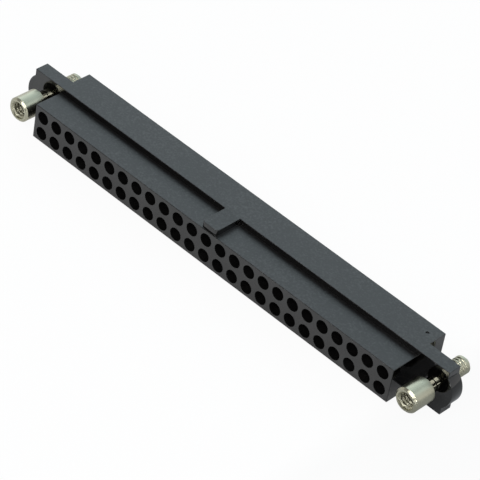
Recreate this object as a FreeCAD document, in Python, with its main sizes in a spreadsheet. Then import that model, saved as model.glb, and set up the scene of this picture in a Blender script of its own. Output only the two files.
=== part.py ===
# Two-row rectangular connector housing with a captive jackscrew in each end ear.
#
# Millimetres. The origin is the centre of the cavity grid on the front (mating) face.
# +X runs along the rows, +Y from the front face to the rear, +Z up.

import FreeCAD, Part
import os
import Sketcher

SIZES = [
    ("column_count", 25, "cavities in each row"),
    ("row_count", 2, "rows of cavities"),
    ("pitch", 2.0, "cavity spacing along a row"),
    ("row_pitch", 2.0, "spacing of the rows"),
    ("cavity_bore", 1.5, "cavity diameter"),
    ("end_wall", 1.2, "last column to the end of the nose"),
    ("side_wall", 1.1, "row to the top or bottom of the nose"),
    ("nose_length", 3.5, "front face to the flange"),
    ("nose_round", 0.15, "edge radius of the nose"),
    ("flange_thickness", 1.65, "flange and ears, front to back"),
    ("flange_step", 0.65, "flange standing above and below the nose"),
    ("rear_length", 2.35, "rear block behind the flange"),
    ("screw_offset", 3.45, "last column to the jackscrew axis"),
    ("shoulder_reach", 1.7, "jackscrew axis to the square shoulder of the ear"),
    ("ear_radius", 2.55, "round end of the ear about the jackscrew"),
    ("rib_width", 2.1, "key rib"),
    ("rib_setback", 0.2, "front face to the front of the rib"),
    ("rib_round", 0.4, "front corners of the rib"),
    ("mark_bore", 0.4, "position mark on the rear block"),
    ("mark_depth", 0.1, "depth of the position mark"),
    ("mark_inset", 1.4, "rear face to the position mark"),
    ("sleeve_diameter", 2.75, "front sleeve of the jackscrew"),
    ("sleeve_reach", 0.3, "sleeve standing in front of the mating face"),
    ("screw_float", 1.0, "sleeve to the ear's front face"),
    ("sleeve_edge", 0.2, "front chamfer of the sleeve"),
    ("sleeve_rim", 0.08, "rear chamfer of the sleeve"),
    ("thread_bore", 1.6, "tapped bore in the sleeve"),
    ("thread_depth", 2.1, "depth of the tapped bore"),
    ("thread_lead", 0.2, "countersink of the tapped bore"),
    ("drill_tip", 0.4, "cone at the bottom of the tapped bore"),
    ("neck_diameter", 1.45, "neck of the jackscrew in the ear"),
    ("neck_clearance", 0.07, "play around the neck"),
    ("tail_gap", 0.1, "ear's rear face to the tail"),
    ("tail_diameter", 1.96, "outside of the tail thread"),
    ("tail_length", 3.25, "tail behind the ear"),
    ("tail_edge", 0.35, "end chamfer of the tail"),
]

# Lengths that follow from the sizes above, as expressions on the sheet.
LAST_COLUMN = "((sizes.column_count - 1) / 2 * sizes.pitch)"
LAST_ROW = "((sizes.row_count - 1) / 2 * sizes.row_pitch)"
NOSE_END = f"({LAST_COLUMN} + sizes.end_wall)"
NOSE_TOP = f"({LAST_ROW} + sizes.side_wall)"
FLANGE_TOP = f"({NOSE_TOP} + sizes.flange_step)"
FLANGE_REAR = "(sizes.nose_length + sizes.flange_thickness)"
HOUSING_REAR = f"({FLANGE_REAR} + sizes.rear_length)"
SCREW_X = f"({LAST_COLUMN} + sizes.screw_offset)"
SHOULDER = f"({SCREW_X} + sizes.shoulder_reach)"
RIB_SIDE = "(sizes.rib_width / 2)"
MARK_Y = f"({HOUSING_REAR} - sizes.mark_inset)"

SLEEVE_FRONT = "(-sizes.sleeve_reach)"
SLEEVE_REAR = "(sizes.nose_length - sizes.screw_float)"
TAIL_FRONT = f"({FLANGE_REAR} + sizes.tail_gap)"
TAIL_END = f"({TAIL_FRONT} + sizes.tail_length)"

# Two points closer than this are the same point.
NEAR = 0.001


# The sheet and the expressions on it

def add_sheet(doc):
    sheet = doc.addObject("Spreadsheet::Sheet", "sizes")
    for row, (alias, number, note) in enumerate(SIZES, start=1):
        sheet.set(f"A{row}", note)
        sheet.set(f"B{row}", str(number))
        sheet.setAlias(f"B{row}", alias)
    doc.recompute()
    return sheet


def number(doc, expression):
    return float(doc.sizes.evalExpression(expression))


# Sketches

def sketch_on(body, role, name, lift="0"):
    """A sketch on an origin plane, or lifted off it along its normal."""
    sketch = body.newObject("Sketcher::SketchObject", name)
    plane = next(item for item in body.Origin.OriginFeatures if item.Role == role)
    sketch.AttachmentSupport = [(plane, "")]
    sketch.MapMode = "FlatFace"
    sketch.setExpression("AttachmentOffset.Base.z", lift)
    return sketch


def pin_point(sketch, curve, end, x, y):
    """Holds one point of the sketch at two expressions, where "0" is an axis."""
    doc = sketch.Document
    for kind, value, axis in (("DistanceX", x, -2), ("DistanceY", y, -1)):
        if value == "0":
            sketch.addConstraint(Sketcher.Constraint("PointOnObject", curve, end, axis))
            continue
        rule = Sketcher.Constraint(kind, -1, 1, curve, end, number(doc, value))
        index = sketch.addConstraint(rule)
        sketch.setExpression(f"Constraints[{index}]", value)


def outline(sketch, corners):
    """A closed run of straight lines through corners given as expressions."""
    doc = sketch.Document
    points = [FreeCAD.Vector(number(doc, x), number(doc, y), 0) for x, y in corners]
    count = len(points)
    for index in range(count):
        line = Part.LineSegment(points[index], points[(index + 1) % count])
        sketch.addGeometry(line, False)
    for index in range(count):
        join = Sketcher.Constraint("Coincident", index, 2, (index + 1) % count, 1)
        sketch.addConstraint(join)
    for index, (x, y) in enumerate(corners):
        pin_point(sketch, index, 1, x, y)


def rectangle(sketch, side, top):
    """A rectangle centred on the sketch's origin."""
    low_side = f"-{side}"
    low_top = f"-{top}"
    outline(sketch, [(low_side, low_top), (side, low_top), (side, top), (low_side, top)])


def circle(sketch, x, y, diameter):
    doc = sketch.Document
    centre = FreeCAD.Vector(number(doc, x), number(doc, y), 0)
    radius = number(doc, diameter) / 2
    curve = sketch.addGeometry(Part.Circle(centre, FreeCAD.Vector(0, 0, 1), radius), False)
    index = sketch.addConstraint(Sketcher.Constraint("Diameter", curve, 2 * radius))
    sketch.setExpression(f"Constraints[{index}]", diameter)
    pin_point(sketch, curve, 3, x, y)


# Features

def pad(body, sketch, name, length, towards_rear=True):
    """Sketches on the XZ plane look forwards, so their pads are reversed to run to the rear."""
    feature = body.newObject("PartDesign::Pad", name)
    feature.Profile = sketch
    feature.Reversed = towards_rear
    feature.setExpression("Length", length)
    body.Document.recompute()
    return feature


def pocket(body, sketch, name, depth):
    """Cuts against the sketch's normal: to the rear from XZ, and down from XY."""
    feature = body.newObject("PartDesign::Pocket", name)
    feature.Profile = sketch
    feature.Reversed = False
    feature.setExpression("Length", depth)
    body.Document.recompute()
    return feature


def fillet(body, base, name, edges, radius):
    feature = body.newObject("PartDesign::Fillet", name)
    feature.Base = (base, edges)
    feature.setExpression("Radius", radius)
    body.Document.recompute()
    return feature


def edges_where(feature, wanted):
    """Names of the edges with two ends that pass the test."""
    names = []
    for index, edge in enumerate(feature.Shape.Edges, start=1):
        ends = [vertex.Point for vertex in edge.Vertexes]
        if len(ends) == 2 and wanted(*ends):
            names.append(f"Edge{index}")
    return names


def runs_along(axis, start, end):
    """True for an edge that lies along one of the axes x, y or z."""
    return abs(getattr(end - start, axis)) > 0.999 * (end - start).Length


# The housing, moulded in one piece

def add_nose(doc, body):
    sketch = sketch_on(body, "XZ_Plane", "nose_outline")
    rectangle(sketch, NOSE_END, NOSE_TOP)
    nose = pad(body, sketch, "nose", "sizes.nose_length")
    middle = number(doc, "sizes.nose_length") / 2

    def outside_the_flange(start, end):
        return min(start.y, end.y) < middle

    edges = edges_where(nose, outside_the_flange)
    fillet(body, nose, "nose_rounding", edges, "sizes.nose_round")


def add_flange(body):
    forwards = "-sizes.nose_length"
    square = sketch_on(body, "XZ_Plane", "flange_outline", lift=forwards)
    rectangle(square, SHOULDER, FLANGE_TOP)
    pad(body, square, "flange", "sizes.flange_thickness")
    rounds = sketch_on(body, "XZ_Plane", "ear_outline", lift=forwards)
    for x in (f"-{SCREW_X}", SCREW_X):
        circle(rounds, x, "0", "2 * sizes.ear_radius")
    pad(body, rounds, "ears", "sizes.flange_thickness")


def add_rear_block(body):
    sketch = sketch_on(body, "XZ_Plane", "rear_outline", lift=f"-{FLANGE_REAR}")
    rectangle(sketch, NOSE_END, FLANGE_TOP)
    pad(body, sketch, "rear_block", "sizes.rear_length")


def add_key_rib(doc, body):
    sketch = sketch_on(body, "XY_Plane", "rib_outline", lift=NOSE_TOP)
    near_side = f"-{RIB_SIDE}"
    corners = [
        (near_side, "sizes.rib_setback"),
        (RIB_SIDE, "sizes.rib_setback"),
        (RIB_SIDE, "sizes.nose_length"),
        (near_side, "sizes.nose_length"),
    ]
    outline(sketch, corners)
    rib = pad(body, sketch, "key_rib", "sizes.flange_step", towards_rear=False)
    front = number(doc, "sizes.rib_setback")
    side = number(doc, RIB_SIDE)

    def front_corner(start, end):
        upright = runs_along("z", start, end)
        return upright and abs(start.y - front) < NEAR and abs(abs(start.x) - side) < NEAR

    edges = edges_where(rib, front_corner)
    fillet(body, rib, "rib_rounding", edges, "sizes.rib_round")


def add_ear_holes(body):
    sketch = sketch_on(body, "XZ_Plane", "ear_hole_outline", lift="-sizes.nose_length")
    for x in (f"-{SCREW_X}", SCREW_X):
        circle(sketch, x, "0", "sizes.neck_diameter + 2 * sizes.neck_clearance")
    pocket(body, sketch, "ear_holes", "sizes.flange_thickness")


def add_cavities(body):
    """The first cavity goes right through, and is repeated over the grid."""
    sketch = sketch_on(body, "XZ_Plane", "cavity_outline")
    circle(sketch, f"-{LAST_COLUMN}", f"-{LAST_ROW}", "sizes.cavity_bore")
    cavity = pocket(body, sketch, "cavity", HOUSING_REAR)

    grid = body.newObject("PartDesign::LinearPattern", "cavities")
    grid.Originals = [cavity]
    grid.Direction = (axis_of(body, "X_Axis"), [""])
    grid.Direction2 = (axis_of(body, "Z_Axis"), [""])
    grid.Mode = "Spacing"
    grid.Mode2 = "Spacing"
    grid.Spacings2 = grid.Spacings
    grid.setExpression("Offset", "sizes.pitch")
    grid.setExpression("Offset2", "sizes.row_pitch")
    grid.setExpression("Occurrences", "sizes.column_count")
    grid.setExpression("Occurrences2", "sizes.row_count")
    body.Tip = grid
    body.Document.recompute()


def axis_of(body, role):
    return next(item for item in body.Origin.OriginFeatures if item.Role == role)


def add_position_mark(body):
    """A round dimple in the rear block's top, over the last column."""
    sketch = sketch_on(body, "XY_Plane", "mark_outline", lift=FLANGE_TOP)
    circle(sketch, LAST_COLUMN, MARK_Y, "sizes.mark_bore")
    pocket(body, sketch, "position_mark", "sizes.mark_depth")


def add_housing(doc):
    body = doc.addObject("PartDesign::Body", "housing")
    body.Label = "housing"
    add_nose(doc, body)
    add_flange(body)
    add_rear_block(body)
    add_key_rib(doc, body)
    add_ear_holes(body)
    add_cavities(body)
    add_position_mark(body)
    return body


# The jackscrews, each turned in one piece

def add_jackscrew(doc, name, x):
    body = doc.addObject("PartDesign::Body", name)
    body.Label = name
    body.setExpression("Placement.Base.x", x)
    sketch = sketch_on(body, "XY_Plane", f"{name}_profile")
    sleeve = "(sizes.sleeve_diameter / 2)"
    bore = "(sizes.thread_bore / 2)"
    neck = "(sizes.neck_diameter / 2)"
    tail = "(sizes.tail_diameter / 2)"
    bore_end = f"{SLEEVE_FRONT} + sizes.thread_depth"
    corners = [
        ("0", f"{bore_end} + sizes.drill_tip"),
        (bore, bore_end),
        (bore, f"{SLEEVE_FRONT} + sizes.thread_lead"),
        (f"{bore} + sizes.thread_lead", SLEEVE_FRONT),
        (f"{sleeve} - sizes.sleeve_edge", SLEEVE_FRONT),
        (sleeve, f"{SLEEVE_FRONT} + sizes.sleeve_edge"),
        (sleeve, f"{SLEEVE_REAR} - sizes.sleeve_rim"),
        (f"{sleeve} - sizes.sleeve_rim", SLEEVE_REAR),
        (neck, SLEEVE_REAR),
        (neck, TAIL_FRONT),
        (tail, TAIL_FRONT),
        (tail, f"{TAIL_END} - sizes.tail_edge"),
        (f"{tail} - sizes.tail_edge", TAIL_END),
        ("0", TAIL_END),
    ]
    outline(sketch, corners)
    turned = body.newObject("PartDesign::Revolution", f"{name}_turned")
    turned.Profile = sketch
    turned.ReferenceAxis = (sketch, ["V_Axis"])
    turned.Angle = 360
    doc.recompute()
    return body


# Tests and files

def check(doc, parts):
    for item in doc.Objects:
        if "Invalid" in item.State or "Error" in item.State:
            raise RuntimeError(f"{item.Name} failed: {item.State}")
    for part in parts:
        shape = part.Shape
        if shape.isNull() or not shape.isValid() or len(shape.Solids) != 1:
            raise RuntimeError(f"{part.Label} is not one valid solid")


def check_cavities(doc):
    """The pattern takes away the same volume for every cavity of the grid."""
    before = doc.ear_holes.Shape.Volume
    one = before - doc.cavity.Shape.Volume
    all_of_them = before - doc.cavities.Shape.Volume
    count = number(doc, "sizes.column_count * sizes.row_count")
    if one <= 0 or abs(all_of_them - count * one) > 0.001 * all_of_them:
        raise RuntimeError("the cavities do not cut the whole grid")


def report(parts):
    for part in parts:
        box = part.Shape.BoundBox
        low = f"{box.XMin:.3f} {box.YMin:.3f} {box.ZMin:.3f}"
        high = f"{box.XMax:.3f} {box.YMax:.3f} {box.ZMax:.3f}"
        print(f"{part.Label}: {low} to {high}, volume {part.Shape.Volume:.2f}")


def main():
    doc = FreeCAD.newDocument("rectangular_connector")
    add_sheet(doc)
    parts = [add_housing(doc)]
    for name, x in (("jackscrew_left", f"-{SCREW_X}"), ("jackscrew_right", SCREW_X)):
        parts.append(add_jackscrew(doc, name, x))
    doc.recompute()
    check(doc, parts)
    check_cavities(doc)
    os.makedirs("parts", exist_ok=True)
    for part in parts:
        part.Shape.exportStep(f"parts/{part.Label}.step")
    report(parts)


main()
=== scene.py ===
# %% [markdown]
# # A two-row connector housing with captive jackscrews
# The real object is 60 mm long. It is one black moulding with fifty round cavities, and two
# small turned metal screws that stand in its ears. The CAD model holds its sizes, and this file
# gives it the surfaces that a camera sees.
#
# The imported model comes in first. Its box is measured before anything is added, and the
# overall sizes below are read from it.

# %% Loading the fixed frame
import math

import bmesh
import bpy
from mathutils import Matrix, Quaternion, Vector


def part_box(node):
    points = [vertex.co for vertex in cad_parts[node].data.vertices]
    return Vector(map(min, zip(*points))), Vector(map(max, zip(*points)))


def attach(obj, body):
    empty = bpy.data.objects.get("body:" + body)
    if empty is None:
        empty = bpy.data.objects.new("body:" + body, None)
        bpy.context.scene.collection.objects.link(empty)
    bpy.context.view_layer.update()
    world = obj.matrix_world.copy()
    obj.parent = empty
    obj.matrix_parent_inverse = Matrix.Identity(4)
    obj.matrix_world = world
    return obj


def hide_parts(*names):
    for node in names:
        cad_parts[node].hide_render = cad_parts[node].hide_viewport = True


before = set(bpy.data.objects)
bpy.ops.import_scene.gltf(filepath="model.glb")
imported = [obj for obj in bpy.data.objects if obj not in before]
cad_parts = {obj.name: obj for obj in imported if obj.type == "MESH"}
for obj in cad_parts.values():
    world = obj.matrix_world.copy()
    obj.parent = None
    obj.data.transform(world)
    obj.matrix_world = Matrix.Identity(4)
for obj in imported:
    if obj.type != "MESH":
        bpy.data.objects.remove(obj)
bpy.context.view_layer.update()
housing_low, housing_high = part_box("housing")
print("CAD nodes:", sorted(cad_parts))

# %% [markdown]
# ## Sizes
# Small work is easier to read in millimetres, so every mesh below is drawn in them and is
# brought to metres once, when it becomes an object. The overall sizes come from the frame. The
# others are the moulding's own dimensions.

# %% Sizes in millimetres
MM = 0.001
SHOULDERS = 29.15
ear_tip = housing_high.x / MM
block_top = housing_high.z / MM
rear_face = housing_high.y / MM

PITCH = 2.0
COLUMNS = 25
ROWS = 2
CAVITY_RADIUS = 0.75
END_WALL = 1.2
NOSE_TOP = 2.1
NOSE_LENGTH = 3.5
FLANGE_REAR = 5.15
EAR_RADIUS = 2.55

last_column = (COLUMNS - 1) / 2 * PITCH
last_row = (ROWS - 1) / 2 * PITCH
nose_end = last_column + END_WALL
screw_x = ear_tip - EAR_RADIUS
print(f"screws at {screw_x:.2f} mm, rear face at {rear_face:.2f} mm")
print("the housing is", tuple(housing_high - housing_low), "m in all")

# %% [markdown]
# ## From a bmesh to a piece
# A bmesh is Blender's editable mesh. `as_object` turns one into a mesh object whose place is in
# its vertices, so its origin stays at the frame's origin. Curved walls are shaded smooth, and
# an edge that turns by more than 30 degrees stays sharp.

# %% Making an object from a bmesh
SHARP_ANGLE = math.radians(30)


def as_object(bm, name):
    """A linked mesh object, made from a bmesh in millimetres, which is used up."""
    bmesh.ops.scale(bm, vec=(MM, MM, MM), verts=bm.verts)
    bmesh.ops.recalc_face_normals(bm, faces=bm.faces)
    mesh = bpy.data.meshes.new(name)
    bm.to_mesh(mesh)
    bm.free()
    mesh.shade_smooth()
    mesh.set_sharp_from_angle(angle=SHARP_ANGLE)
    piece = bpy.data.objects.new(name, mesh)
    bpy.context.scene.collection.objects.link(piece)
    return piece


def bmesh_of(piece):
    """The piece's mesh, with its modifiers, as a bmesh in millimetres. The piece is removed."""
    graph = bpy.context.evaluated_depsgraph_get()
    bm = bmesh.new()
    bm.from_object(piece, graph)
    bmesh.ops.scale(bm, vec=(1 / MM, 1 / MM, 1 / MM), verts=bm.verts)
    bpy.data.objects.remove(piece)
    return bm


# %% [markdown]
# ## Joining and cutting
# The moulding is a few plain bodies run together, less its holes. A Boolean modifier with the
# exact solver does both. The modifier's result is read back into a bmesh at once, so that the
# next step can work on it.

# %% Boolean helpers
def with_tool(bm, tool_bm, operation):
    """The first bmesh joined with the second one, or cut by it. Both are used up."""
    body = as_object(bm, "body")
    tool = as_object(tool_bm, "tool")
    boolean = body.modifiers.new("shape", "BOOLEAN")
    boolean.operation = operation
    boolean.solver = "EXACT"
    boolean.object = tool
    result = bmesh_of(body)
    bpy.data.objects.remove(tool)
    return result


def rod(bm, x, z, radius, front, rear, segments):
    """Adds a round bar along y that runs from front to rear."""
    made = bmesh.ops.create_cone(
        bm, cap_ends=True, segments=segments, radius1=radius, radius2=radius, depth=rear - front
    )
    turn = Matrix.Rotation(math.radians(90), 3, "X")
    bmesh.ops.rotate(bm, cent=(0, 0, 0), matrix=turn, verts=made["verts"])
    bmesh.ops.translate(bm, vec=(x, (front + rear) / 2, z), verts=made["verts"])


def box(low, high):
    """A box between two opposite corners."""
    bm = bmesh.new()
    bmesh.ops.create_cube(bm, size=1)
    low, high = Vector(low), Vector(high)
    bmesh.ops.scale(bm, vec=high - low, verts=bm.verts)
    bmesh.ops.translate(bm, vec=(low + high) / 2, verts=bm.verts)
    return bm


# %% [markdown]
# ## Soft edges
# No moulded edge is truly sharp: the steel mould has a small radius, and that radius is what
# catches the light. Each body is rounded while it is still simple, before it is joined to its
# neighbours, because a bevel runs cleanly only where its edges are long and meet in threes.

# %% Rounding the outward edges of a body
EDGE_ROUND = 0.06
EDGE_STEPS = 3


def round_edges(bm, radius, segments, wanted=lambda edge: True):
    """Bevels the sharp outward edges that are wanted."""
    edges = []
    for edge in bm.edges:
        if edge.is_convex and edge.calc_face_angle() > SHARP_ANGLE and wanted(edge):
            edges.append(edge)
    bmesh.ops.bevel(
        bm, geom=edges, offset=radius, segments=segments, profile=0.5, affect="EDGES", material=-1
    )


# %% [markdown]
# ## Block and flange
# Seen from above, the rear block and the flange in front of it make a wide T. They are one flat
# outline pulled up to the full height, so no seam runs between them.

# %% The T of block and flange
def tee():
    """The T seen from above, pulled up from the underside to the top."""
    bm = bmesh.new()
    plan = [
        (-SHOULDERS, NOSE_LENGTH),
        (SHOULDERS, NOSE_LENGTH),
        (SHOULDERS, FLANGE_REAR),
        (nose_end, FLANGE_REAR),
        (nose_end, rear_face),
        (-nose_end, rear_face),
        (-nose_end, FLANGE_REAR),
        (-SHOULDERS, FLANGE_REAR),
    ]
    base = bm.faces.new([bm.verts.new((x, y, -block_top)) for x, y in plan])
    lifted = bmesh.ops.extrude_face_region(bm, geom=[base])["geom"]
    top = [item for item in lifted if isinstance(item, bmesh.types.BMVert)]
    bmesh.ops.translate(bm, vec=(0, 0, 2 * block_top), verts=top)
    bmesh.ops.recalc_face_normals(bm, faces=bm.faces)
    return bm


moulding = tee()
round_edges(moulding, EDGE_ROUND, EDGE_STEPS)
print("block and flange:", len(moulding.faces), "faces")

# %% [markdown]
# ## Ears
# The flange's square shoulders end in a round lug on each side, as thick as the flange, and the
# jackscrew stands at its centre.

# %% Ears
EAR_SEGMENTS = 96

for side in (-1, 1):
    ear = bmesh.new()
    rod(ear, side * screw_x, 0, EAR_RADIUS, NOSE_LENGTH, FLANGE_REAR, EAR_SEGMENTS)
    round_edges(ear, EDGE_ROUND, EDGE_STEPS)
    moulding = with_tool(moulding, ear, "UNION")
print("with ears:", len(moulding.faces), "faces")

# %% [markdown]
# ## Nose
# The nose is the part that enters the mating half, so its edges are rounded a little more. It
# reaches a little way into the flange, because two solids that only touch would leave a wall
# between them.

# %% Nose
OVERLAP = 0.3
NOSE_ROUND = 0.08
NOSE_STEPS = 4

nose = box((-nose_end, 0, -NOSE_TOP), (nose_end, NOSE_LENGTH + OVERLAP, NOSE_TOP))
round_edges(nose, NOSE_ROUND, NOSE_STEPS)
moulding = with_tool(moulding, nose, "UNION")
print("with nose:", len(moulding.faces), "faces")

# %% [markdown]
# ## Key rib
# The rib on the nose keeps the mating half from going in upside down. Its two front corners are
# rounded in plan, so those upright edges are bevelled first, and then its top edge all round.

# %% Key rib
RIB_SIDE = 1.05
RIB_FRONT = 0.2
RIB_ROUND = 0.4
RIB_STEPS = 8
UPRIGHT_RISE = 0.5
LEVEL_TOLERANCE = 0.001


def is_front_corner(edge):
    """Whether the edge is one of the two upright ones in front of the flange."""
    start, end = (vert.co for vert in edge.verts)
    return abs(start.z - end.z) > UPRIGHT_RISE and start.y < NOSE_LENGTH


def is_top_rim(edge):
    """Whether the edge lies round the top."""
    return all(vert.co.z > block_top - LEVEL_TOLERANCE for vert in edge.verts)


rib_low = (-RIB_SIDE, RIB_FRONT, NOSE_TOP - OVERLAP)
rib_high = (RIB_SIDE, NOSE_LENGTH + OVERLAP, block_top)
rib = box(rib_low, rib_high)
round_edges(rib, RIB_ROUND, RIB_STEPS, is_front_corner)
round_edges(rib, EDGE_ROUND, EDGE_STEPS, is_top_rim)
moulding = with_tool(moulding, rib, "UNION")
print("with rib:", len(moulding.faces), "faces")

# %% [markdown]
# ## Cavities, ear holes and the position mark
# All fifty cavities are one cutter, made of fifty round bars side by side. The real ones are
# cored by steel pins and come out with a crisp rim, so their rims stay sharp. Every cutter
# reaches past the faces that it opens. The mark is a small round dimple in the block's top, near
# its right end.

# %% Cutting the holes
CAVITY_SEGMENTS = 40
EAR_HOLE_RADIUS = 0.795
EAR_HOLE_SEGMENTS = 48
PAST = 0.5
MARK_SEGMENTS = 24
MARK_RADIUS = 0.2
MARK_DEPTH = 0.1
MARK_INSET = 1.4

pins = bmesh.new()
for row in range(ROWS):
    for column in range(COLUMNS):
        x = column * PITCH - last_column
        z = row * PITCH - last_row
        rod(pins, x, z, CAVITY_RADIUS, -PAST, rear_face + PAST, CAVITY_SEGMENTS)
hole_front = NOSE_LENGTH - PAST
hole_rear = FLANGE_REAR + PAST
for side in (-1, 1):
    rod(pins, side * screw_x, 0, EAR_HOLE_RADIUS, hole_front, hole_rear, EAR_HOLE_SEGMENTS)
moulding = with_tool(moulding, pins, "DIFFERENCE")

mark = bmesh.new()
bmesh.ops.create_cone(
    mark,
    cap_ends=True,
    segments=MARK_SEGMENTS,
    radius1=MARK_RADIUS,
    radius2=MARK_RADIUS,
    depth=2 * MARK_DEPTH,
)
mark_place = (last_column, rear_face - MARK_INSET, block_top)
bmesh.ops.translate(mark, vec=mark_place, verts=mark.verts)
moulding = with_tool(moulding, mark, "DIFFERENCE")

housing = as_object(moulding, "housing_moulding")
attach(housing, "housing")
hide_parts("housing")
print("moulding:", len(housing.data.polygons), "faces")

# %% [markdown]
# ## Even shading on flat faces
# Smooth shading bends the light across a big flat face where it meets a narrow round. The
# Weighted Normal modifier gives the big faces the last word, and flat stays flat.

# %% Weighted normals
FULL_WEIGHT = 100


def keep_flats_flat(piece):
    """Adds the modifier that lets the largest faces set the normals."""
    weigh = piece.modifiers.new("weigh", "WEIGHTED_NORMAL")
    weigh.mode = "FACE_AREA"
    weigh.weight = FULL_WEIGHT
    weigh.keep_sharp = True


keep_flats_flat(housing)
print("modifiers on the moulding:", [modifier.name for modifier in housing.modifiers])

# %% [markdown]
# ## The jackscrews
# Each screw is turned from bar, so its mesh is turned as well: one outline of radius and length
# is spun about the axis. The outline runs from the bottom of the tapped bore, out over the
# sleeve and the neck, to the end of the tail.

# %% The turned outline
SLEEVE_RADIUS = 1.375
SLEEVE_FRONT = -0.3
SLEEVE_REAR = 2.5
SLEEVE_EDGE = 0.2
SLEEVE_RIM = 0.08
BORE_RADIUS = 0.8
BORE_LEAD = 0.2
BORE_END = 1.8
BORE_TIP = 2.2
NECK_RADIUS = 0.725
TAIL_FRONT = 5.25
TAIL_END = 8.5
TAIL_RADIUS = 0.98
TAIL_EDGE = 0.35
THREAD_PITCH = 0.4
ROWS_PER_TURN = 8


def fine_run(radius, start, end):
    """Points along a straight wall, close enough together to carry a thread."""
    count = round(abs(end - start) / THREAD_PITCH * ROWS_PER_TURN)
    return [(radius, start + (end - start) * step / count) for step in range(count + 1)]


outline = [(0, BORE_TIP)]
outline += fine_run(BORE_RADIUS, BORE_END, SLEEVE_FRONT + BORE_LEAD)
outline += [
    (BORE_RADIUS + BORE_LEAD, SLEEVE_FRONT),
    (SLEEVE_RADIUS - SLEEVE_EDGE, SLEEVE_FRONT),
    (SLEEVE_RADIUS, SLEEVE_FRONT + SLEEVE_EDGE),
    (SLEEVE_RADIUS, SLEEVE_REAR - SLEEVE_RIM),
    (SLEEVE_RADIUS - SLEEVE_RIM, SLEEVE_REAR),
    (NECK_RADIUS, SLEEVE_REAR),
    (NECK_RADIUS, TAIL_FRONT),
]
outline += fine_run(TAIL_RADIUS, TAIL_FRONT, TAIL_END - TAIL_EDGE)
outline += [(TAIL_RADIUS - TAIL_EDGE, TAIL_END), (0, TAIL_END)]
print("outline points:", len(outline))

# %% [markdown]
# ## Threads
# A thread is a groove that climbs one pitch per turn. On the spun grid that is a small move of
# each vertex in or out, by a wave that depends on its height and its angle together. The wave
# has flat crests and roots, as a rolled or tapped thread has, and fades out at both ends.

# %% Spinning the outline and cutting the threads
TURN_STEPS = 72
THREAD_DEPTH = 0.2
TAIL_THREAD_DEPTH = 0.13
THREAD_FADE = 0.25
CREST_SHARE = 0.35
FLANK_SHARE = 0.5
TAIL_THREAD_END = 8.0
WALL_TOLERANCE = 0.01
MERGE_DISTANCE = 0.0005


def thread_wave(phase):
    """0 on the crest and 1 in the root, for a phase counted in turns."""
    from_crest = abs((phase % 1.0) - 0.5) * 2
    return min(1.0, max(0.0, (from_crest - CREST_SHARE) / FLANK_SHARE))


def fade(y, start, end):
    """0 at both ends of the thread and 1 a little way in."""
    return min(1.0, max(0.0, min(y - start, end - y) / THREAD_FADE))


def cut_thread(bm, radius, start, end, depth):
    """Moves the wall of this radius between start and end. A negative depth is an inner thread."""
    for vert in bm.verts:
        across = math.hypot(vert.co.x, vert.co.z)
        inside = start < vert.co.y < end
        if not inside or abs(across - radius) > WALL_TOLERANCE:
            continue
        turns = math.atan2(vert.co.z, vert.co.x) / (2 * math.pi)
        wave = thread_wave(vert.co.y / THREAD_PITCH - turns)
        wanted = radius - depth * wave * fade(vert.co.y, start, end)
        vert.co.x *= wanted / across
        vert.co.z *= wanted / across


def turned_screw(name, x):
    """One jackscrew, spun about the y axis and then moved to its ear."""
    bm = bmesh.new()
    verts = [bm.verts.new((radius, y, 0)) for radius, y in outline]
    edges = [bm.edges.new(pair) for pair in zip(verts, verts[1:])]
    bmesh.ops.spin(
        bm,
        geom=verts + edges,
        cent=(0, 0, 0),
        axis=(0, 1, 0),
        angle=2 * math.pi,
        steps=TURN_STEPS,
        use_merge=True,
    )
    bmesh.ops.remove_doubles(bm, verts=bm.verts, dist=MERGE_DISTANCE)
    cut_thread(bm, BORE_RADIUS, SLEEVE_FRONT, BORE_END, -THREAD_DEPTH)
    cut_thread(bm, TAIL_RADIUS, TAIL_FRONT, TAIL_THREAD_END, TAIL_THREAD_DEPTH)
    bmesh.ops.translate(bm, vec=(x, 0, 0), verts=bm.verts)
    return as_object(bm, name)


SCREW_PLACES = {"jackscrew_left": -screw_x, "jackscrew_right": screw_x}

screws = {}
for body, x in SCREW_PLACES.items():
    screw = turned_screw(f"{body}_turned", x)
    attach(screw, body)
    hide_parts(body)
    screws[body] = screw
    print(body, "has", len(screw.data.polygons), "faces")

# %% [markdown]
# ## Shader maths in plain Python
# A material is a graph of nodes. `Channel` wraps one output socket so that `1 - mask` or
# `grain * 0.1` adds the Math node for it, and `Finish.node` makes every other node.

# %% Wrapping sockets
class Channel:
    """A number that varies over the surface. Python's operators add Math nodes to it."""

    def __init__(self, finish, socket):
        self.finish = finish
        self.socket = socket

    def math(self, operation, first, second):
        """The channel that a new Math node gives for two channels or numbers."""
        made = self.finish.node("ShaderNodeMath", {"operation": operation}, {0: first, 1: second})
        return made["Value"]

    def __add__(self, other):
        return self.math("ADD", self, other)

    def __radd__(self, other):
        return self.math("ADD", other, self)

    def __sub__(self, other):
        return self.math("SUBTRACT", self, other)

    def __rsub__(self, other):
        return self.math("SUBTRACT", other, self)

    def __mul__(self, other):
        return self.math("MULTIPLY", self, other)

    def __rmul__(self, other):
        return self.math("MULTIPLY", other, self)

    def __pow__(self, other):
        return self.math("POWER", self, other)

    def __gt__(self, other):
        return self.math("GREATER_THAN", self, other)

    def at_least(self, floor):
        return self.math("MAXIMUM", self, floor)


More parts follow.
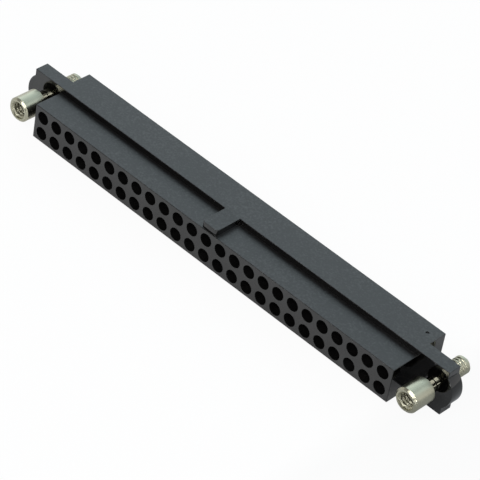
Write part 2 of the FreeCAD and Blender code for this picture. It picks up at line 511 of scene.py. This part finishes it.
class Finish:
    """The node tree of a material or of the world, under construction."""

    def __init__(self, owner):
        owner.use_nodes = True
        self.owner = owner
        self.tree = owner.node_tree
        self.tree.nodes.clear()

    @classmethod
    def material(cls, name):
        return cls(bpy.data.materials.new(name))

    def node(self, kind, settings=None, inputs=None):
        """Adds a node, and returns its outputs by name as channels."""
        made = self.tree.nodes.new(kind)
        for key, value in (settings or {}).items():
            if key == "stops":
                self.set_stops(made.color_ramp, value)
            else:
                setattr(made, key, value)
        for key, value in (inputs or {}).items():
            if isinstance(value, Channel):
                self.tree.links.new(value.socket, made.inputs[key])
            else:
                made.inputs[key].default_value = value
        return {socket.name: Channel(self, socket) for socket in made.outputs if socket.enabled}

    def set_stops(self, ramp, stops):
        """Gives a ramp, which has two stops to begin with, the stops that are wanted."""
        for place, _ in stops[2:]:
            ramp.elements.new(place)
        for element, (place, colour) in zip(ramp.elements, stops):
            element.position = place
            element.color = colour

    def noise(self, scale, detail=2.0, roughness=0.5, vector=None):
        """Noise between 0 and 1, on Object coordinates unless another vector is given."""
        vector = vector or self.node("ShaderNodeTexCoord")["Object"]
        inputs = {"Vector": vector, "Scale": scale, "Detail": detail, "Roughness": roughness}
        return self.node("ShaderNodeTexNoise", {}, inputs)["Fac"]

    def mix(self, amount, first, second):
        """A blend of two colours. The Mix node's colours are its sockets 6 and 7."""
        settings = {"data_type": "RGBA"}
        outputs = self.node("ShaderNodeMix", settings, {"Factor": amount, 6: first, 7: second})
        return outputs["Result"]

    def close(self, surface):
        """Links the surface to the output, and returns the finished material."""
        self.node("ShaderNodeOutputMaterial", {}, {"Surface": surface})
        return self.owner


# %% [markdown]
# ## The black moulding
# Glass-filled black plastic is close to black, and most of what one sees of it is the white
# studio in its skin. Its upright faces were made by polished steel and mirror sharply. The top
# and underside were made by spark-eroded steel, and their mirror image is soft. The walls of the
# cavities are rough and mirror little, so that the cavities stay dark to the rim. These are
# three materials of one recipe, each with its own skin.
#
# The recipe lays three noises over each other. A slow one follows the flow of the plastic and
# changes its colour and sheen, a finer one mottles the sheen, and the finest is the grain that
# the bump reads.

# %% Black plastic
PLASTIC_DARK = (0.0005, 0.0005, 0.0006, 1)
PLASTIC_PALE = (0.0016, 0.0014, 0.0013, 1)
PLASTIC_IOR = 1.6
CAVITY_IOR = 1.22
POLISHED_GRAIN = 0.000002
ROUGH_GRAIN = 0.00001
GRAIN_PER_METRE = 9000
FLOW_PER_METRE = 260
MOTTLE_PER_METRE = 4500
NOISE_MIDDLE = 0.5
SHEEN_START = 0.4
SHEEN_RANGE = 0.5
LEAST_ROUGHNESS = 0.85
FLOW_ROUGHNESS = 0.2
GRAIN_ROUGHNESS = 0.1
GRAIN_BUMP = 0.25

# Each skin has a name, a roughness, a depth of grain in metres, a range of mottle and an index
# of refraction.
SKINS = (
    ("black_polished", 0.08, POLISHED_GRAIN, 0.2, PLASTIC_IOR),
    ("black_sparked", 0.42, ROUGH_GRAIN, 1.6, PLASTIC_IOR),
    ("black_bore", 0.6, ROUGH_GRAIN, 0.0, CAVITY_IOR),
)
POLISHED, SPARKED, CAVITY = range(len(SKINS))


def black_moulding(name, skin_roughness, grain_depth, mottle_range, ior):
    """The black plastic with one of its skins."""
    finish = Finish.material(name)
    grain = finish.noise(GRAIN_PER_METRE, detail=3.0)
    flow = finish.noise(FLOW_PER_METRE, detail=4.0, roughness=0.6)
    mottle = finish.noise(MOTTLE_PER_METRE, detail=3.0, roughness=0.6)
    sheen = (flow - SHEEN_START) * SHEEN_RANGE + (mottle - NOISE_MIDDLE) * mottle_range
    colour = finish.mix(flow, PLASTIC_DARK, PLASTIC_PALE)
    unevenness = LEAST_ROUGHNESS + flow * FLOW_ROUGHNESS + grain * GRAIN_ROUGHNESS
    roughness = skin_roughness * unevenness
    bump_inputs = {"Strength": GRAIN_BUMP, "Distance": grain_depth, "Height": grain}
    bump = finish.node("ShaderNodeBump", {}, bump_inputs)["Normal"]
    inputs = {
        "Base Color": colour,
        "Roughness": roughness,
        "IOR": ior,
        "Coat Weight": sheen.at_least(0.0),
        "Coat Roughness": skin_roughness,
        "Normal": bump,
    }
    shader = finish.node("ShaderNodeBsdfPrincipled", {}, inputs)["BSDF"]
    return finish.close(shader)


for skin in SKINS:
    housing.data.materials.append(black_moulding(*skin))

# %% [markdown]
# ## Which face has which skin
# A face takes its skin from where it is and which way it faces. A wall inside the nose or the
# block belongs to a cavity. Whatever looks up or down outside them is sparked, with the small
# rounds along the top edges, because a polished round would mirror the dark front of the tent
# as a thin black line.

# %% Skins by place
CAVITY_WALL_LEAN = 0.5
SPARKED_LEAN = 0.3


def skin_of(face):
    """The number of the face's skin in SKINS."""
    place = face.center / MM
    within_ends = abs(place.x) < nose_end - NOSE_ROUND
    within_height = abs(place.z) < NOSE_TOP - NOSE_ROUND
    if within_ends and within_height and abs(face.normal.y) < CAVITY_WALL_LEAN:
        return CAVITY
    if abs(face.normal.z) > SPARKED_LEAN and not within_height:
        return SPARKED
    return POLISHED


faces_by_skin = [0] * len(SKINS)
for face in housing.data.polygons:
    face.material_index = skin_of(face)
    faces_by_skin[face.material_index] += 1
print("polished, sparked and cavity faces:", faces_by_skin)

# %% [markdown]
# ## The turned metal
# The screws are plated steel with a faint warm tint. The tool leaves fine rings round the axis,
# so the grain is read along the length and the radius only, which makes it the same all the way
# round. A Mapping node brings each screw's axis to the centre first.
#
# The tool cuts the tapped bore and the tail's thread less cleanly than the sleeve, and the neck
# was polished. The place along the axis and the radius tell these zones apart, each as a mask
# of 0 or 1, and a mask times a step changes the roughness there.

# %% Turned screw metal
METAL_DARK = (0.37, 0.36, 0.275, 1)
METAL_PALE = (0.47, 0.46, 0.355, 1)
METAL_ROUGHNESS = 0.29
NECK_POLISH = 0.16
TAIL_ROUGHER = 0.1
BORE_ROUGHER = 0.16
RINGS_PER_METRE = 14000
STAINS_PER_METRE = 900
RING_ROUGHNESS = 0.12
STAIN_ROUGHNESS = 0.08
RING_BUMP = 0.15
RING_DEPTH = 0.000003


def place_on_screw(finish, axis_x):
    """The distance along the screw and the radius, as two channels."""
    place = finish.node("ShaderNodeTexCoord")["Object"]
    moved = {"Vector": place, "Location": (-axis_x * MM, 0, 0)}
    centred = finish.node("ShaderNodeMapping", {}, moved)["Vector"]
    parts = finish.node("ShaderNodeSeparateXYZ", {}, {"Vector": centred})
    radius = (parts["X"] ** 2 + parts["Z"] ** 2) ** 0.5
    return parts["Y"], radius


def zone_roughness(along, radius):
    """How much rougher than the sleeve the bore and the tail are, and how much less the neck."""
    behind_sleeve = along > SLEEVE_REAR * MM
    outside_bore = radius > (BORE_RADIUS + BORE_LEAD) * MM
    in_bore = (1 - outside_bore) * (1 - behind_sleeve)
    on_tail = along > FLANGE_REAR * MM
    on_neck = behind_sleeve - on_tail
    return in_bore * BORE_ROUGHER + on_tail * TAIL_ROUGHER - on_neck * NECK_POLISH


def turned_metal(name, axis_x):
    """Plated steel with the tool's rings round the axis at this x."""
    finish = Finish.material(name)
    along, radius = place_on_screw(finish, axis_x)
    ring_place = finish.node("ShaderNodeCombineXYZ", {}, {"X": along, "Y": radius})["Vector"]
    rings = finish.noise(RINGS_PER_METRE, detail=2.0, vector=ring_place)
    stain = finish.noise(STAINS_PER_METRE, detail=3.0)
    colour = finish.mix(stain, METAL_DARK, METAL_PALE)
    unevenness = (rings - NOISE_MIDDLE) * RING_ROUGHNESS + (stain - NOISE_MIDDLE) * STAIN_ROUGHNESS
    roughness = METAL_ROUGHNESS + unevenness + zone_roughness(along, radius)
    bump_inputs = {"Strength": RING_BUMP, "Distance": RING_DEPTH, "Height": rings}
    bump = finish.node("ShaderNodeBump", {}, bump_inputs)["Normal"]
    inputs = {"Base Color": colour, "Metallic": 1.0, "Roughness": roughness, "Normal": bump}
    shader = finish.node("ShaderNodeBsdfPrincipled", {}, inputs)["BSDF"]
    return finish.close(shader)


for body, axis_x in SCREW_PLACES.items():
    metal = turned_metal(f"{body}_metal", axis_x)
    screws[body].data.materials.append(metal)
    print(metal.name, "has", len(metal.node_tree.nodes), "nodes")

# %% [markdown]
# ## Floor and backdrop
# The object lies on white paper. The camera sees the paper as pure white. The glossy faces see
# it a little greyer, and the light that it throws back onto the object stays at a plain level.
# The shadow under the object is kept by mixing the white with a lit matt surface. Past the right
# end of the nose the paper is painted greyer still: a painted shadow, so that the right ends of
# the nose and the block mirror something darker there.

# %% White floor
FLOOR_HALF = 0.6
FLOOR_GAP = 0.03
SHADOW_SHARE = 0.06
MIRRORED_MATT_SHARE = 0.6
PAPER = (0.8, 0.8, 0.8, 1)
# SHADED_PAPER and SHADED_MIRRORED_PAPER are a painted shadow on the paper, which grows from
# SHADE_START to SHADE_FULL millimetres along x.
SHADED_PAPER = (0.45, 0.46, 0.47, 1)
MIRRORED_PAPER = (0.9, 0.9, 0.9, 1)
SHADED_MIRRORED_PAPER = (0.5, 0.51, 0.52, 1)
SHADE_START = 24.0
SHADE_FULL = 27.0


def shade_to_the_right(finish):
    """0 on the plain paper and 1 where the painted shadow is full, past the right end of the nose.
    """
    place = finish.node("ShaderNodeTexCoord")["Object"]
    across = finish.node("ShaderNodeSeparateXYZ", {}, {"Vector": place})["X"]
    span = {"Value": across, "From Min": SHADE_START * MM, "From Max": SHADE_FULL * MM}
    return finish.node("ShaderNodeMapRange", {}, span)["Result"]


def white_floor():
    """White for the camera, a little grey for mirrors, and matt paper for the light, with a
    painted shadow past the right end of the nose.
    """
    finish = Finish.material("white_paper")
    rays = finish.node("ShaderNodeLightPath")
    shade = shade_to_the_right(finish)
    # Past the right end of the nose both colours turn to the greys of the painted shadow.
    paper_colour = finish.mix(shade, PAPER, SHADED_PAPER)
    mirrored_colour = finish.mix(shade, MIRRORED_PAPER, SHADED_MIRRORED_PAPER)
    matt = finish.node("ShaderNodeBsdfDiffuse", {}, {"Color": paper_colour})["BSDF"]
    mirrored = finish.node("ShaderNodeEmission", {}, {"Color": mirrored_colour})["Emission"]
    white = finish.node("ShaderNodeEmission", {}, {"Strength": 1.0})["Emission"]
    mirrored_share = rays["Is Glossy Ray"] * (1 - MIRRORED_MATT_SHARE)
    seen = (rays["Is Camera Ray"] + rays["Is Transmission Ray"]) * (1 - SHADOW_SHARE)
    lit_inputs = {0: mirrored_share, 1: matt, 2: mirrored}
    lit = finish.node("ShaderNodeMixShader", {}, lit_inputs)["Shader"]
    mixed = finish.node("ShaderNodeMixShader", {}, {0: seen, 1: lit, 2: white})["Shader"]
    return finish.close(mixed)


paper = bmesh.new()
bmesh.ops.create_grid(paper, x_segments=1, y_segments=1, size=FLOOR_HALF / MM)
bmesh.ops.translate(paper, vec=(0, 0, -block_top - FLOOR_GAP), verts=paper.verts)
floor = as_object(paper, "paper_floor")
floor.data.materials.append(white_floor())
print("paper:", tuple(floor.dimensions), "m")

# %% [markdown]
# ## Light
# The photograph was taken in a white tent: the black plastic shows the tent's walls in every
# flat face, the tops a cool light from behind and the front a warmer one from the paper. The
# flange stands between the rear of the nose and that light, which is the dark stripe along it.
# The tent is open and dark towards the camera, so what mirrors that side stays black.

# %% The tent
TENT_RADIANCE = (
    (0.0, (1.0, 1.0, 1.0, 1)),
    (0.6, (0.82, 0.86, 0.88, 1)),
    (0.8, (0.38, 0.4, 0.42, 1)),
    (0.95, (0.14, 0.145, 0.15, 1)),
)
DARK_FRONT = (0.22, 0.22, 0.22, 1)
FRONT_FULL = 0.5
SEEN_WHITE = (1, 1, 1, 1)


def white_tent():
    """A tent that is brightest low down, and plain white where the camera itself looks."""
    world = bpy.data.worlds.new("tent")
    bpy.context.scene.world = world
    sky = Finish(world)
    way = sky.node("ShaderNodeTexCoord")["Generated"]
    parts = sky.node("ShaderNodeSeparateXYZ", {}, {"Vector": way})
    walls = sky.node("ShaderNodeValToRGB", {"stops": TENT_RADIANCE}, {"Fac": parts["Z"]})["Color"]
    facing = {"Value": parts["Y"] * -1.0, "From Max": FRONT_FULL}
    towards_front = sky.node("ShaderNodeMapRange", {}, facing)["Result"]
    colour = sky.mix(towards_front, walls, DARK_FRONT)
    tent = sky.node("ShaderNodeBackground", {}, {"Color": colour})["Background"]
    white = sky.node("ShaderNodeBackground", {}, {"Color": SEEN_WHITE})["Background"]
    seen = sky.node("ShaderNodeLightPath")["Is Camera Ray"]
    mixed = sky.node("ShaderNodeMixShader", {}, {0: seen, 1: tent, 2: white})["Shader"]
    sky.node("ShaderNodeOutputWorld", {}, {"Surface": mixed})


white_tent()
print("the tent has", len(TENT_RADIANCE), "stops from the horizon up")

# %% [markdown]
# ## Lamps
# Area lamps stand for the brighter panels of the tent. The two rear walls light the tops and the
# sleeves' upper sides, and the two low walls in front light the screws from lower down, into
# the threads of their bores. Two long narrow strips run past the camera, one just above it and
# one below it. They give the arcs on the screws' chamfers, the lines along each neck, and the
# thin lines that the ears' faces mirror. A small lamp low on the right adds a short highlight.

# %% Soft boxes
LAMP_DISTANCE = 0.6


def direction(azimuth, elevation):
    """Azimuth 0 is behind the object and 90 is to its right. Both are in degrees."""
    turn = math.radians(azimuth)
    lift = math.radians(elevation)
    level = math.cos(lift)
    return Vector((math.sin(turn) * level, math.cos(turn) * level, math.sin(lift)))


def soft_box(name, start, end, height, radiance, colour):
    """A rectangular area lamp, whose long side runs from one direction to another."""
    first = direction(*start) * LAMP_DISTANCE
    last = direction(*end) * LAMP_DISTANCE
    along = (last - first).normalized()
    middle = (first + last) / 2
    away = (middle - along * middle.dot(along)).normalized()
    lamp = bpy.data.lights.new(name, "AREA")
    lamp.shape = "RECTANGLE"
    lamp.size = (last - first).length
    lamp.size_y = height
    lamp.energy = radiance * math.pi * lamp.size * lamp.size_y
    lamp.color = colour
    holder = bpy.data.objects.new(name, lamp)
    holder.location = middle
    turned = Matrix((along, away.cross(along), away)).transposed()
    holder.rotation_mode = "QUATERNION"
    holder.rotation_quaternion = turned.to_quaternion()
    bpy.context.scene.collection.objects.link(holder)


COOL = (0.68, 0.9, 1.0)
NEUTRAL = (1.0, 1.0, 1.0)
WARM = (1.0, 0.97, 0.92)

# Each lamp has a name, the directions of its two ends, a height in metres, a radiance and a
# colour.
LAMPS = (
    ("back_left_wall", (-68, 28), (4, 40), 0.4, 0.78, COOL),
    ("back_right_wall", (14, 46), (95, 40), 0.3, 0.6, COOL),
    ("front_left_wall", (-150, 10), (-105, 10), 0.2, 0.5, WARM),
    ("strip_beside_camera", (132, 38), (200, 49), 0.05, 16.0, NEUTRAL),
    ("strip_below_camera", (147, 24), (200, 47), 0.04, 14.0, NEUTRAL),
    ("lamp_right_of_camera", (124, 8), (132, 8), 0.07, 20.0, NEUTRAL),
    ("low_front_wall", (155, 18), (198, 18), 0.12, 2.0, NEUTRAL),
)
for lamp_values in LAMPS:
    soft_box(*lamp_values)
print("lamps:", len(LAMPS))

# %% [markdown]
# ## Camera
# The photograph is a long-lens picture from the right front, looking down. The camera was
# fitted to the cavity centres and to the moulding's edges. It stands 274 mm away with a 206 mm
# lens, and is rolled by about ten degrees, which is why the long edges slope so strongly.

# %% Camera of the photograph
CAMERA_TARGET = Vector((2.103, 2.745, 1.077)) * MM
CAMERA_AZIMUTH = math.radians(37.635)
CAMERA_ELEVATION = math.radians(39.558)
CAMERA_ROLL = math.radians(10.406)
CAMERA_DISTANCE = 273.804 * MM
CAMERA_LENS = 205.82
SENSOR_WIDTH = 36
NEAREST_SEEN = 0.01
FARTHEST_SEEN = 10


def add_camera():
    """The scene's camera, aimed at its target and rolled about its own axis."""
    level = math.cos(CAMERA_ELEVATION)
    back = Vector((
        math.sin(CAMERA_AZIMUTH) * level,
        -math.cos(CAMERA_AZIMUTH) * level,
        math.sin(CAMERA_ELEVATION),
    ))
    lens = bpy.data.cameras.new("camera")
    lens.lens = CAMERA_LENS
    lens.sensor_width = SENSOR_WIDTH
    lens.clip_start = NEAREST_SEEN
    lens.clip_end = FARTHEST_SEEN
    holder = bpy.data.objects.new("camera", lens)
    holder.location = CAMERA_TARGET + back * CAMERA_DISTANCE
    holder.rotation_mode = "QUATERNION"
    aim = (-back).to_track_quat("-Z", "Y")
    holder.rotation_quaternion = aim @ Quaternion((0, 0, 1), CAMERA_ROLL)
    bpy.context.scene.collection.objects.link(holder)
    bpy.context.scene.camera = holder


add_camera()
bpy.context.scene.view_settings.view_transform = "Standard"
print("camera at", tuple(bpy.context.scene.camera.location))
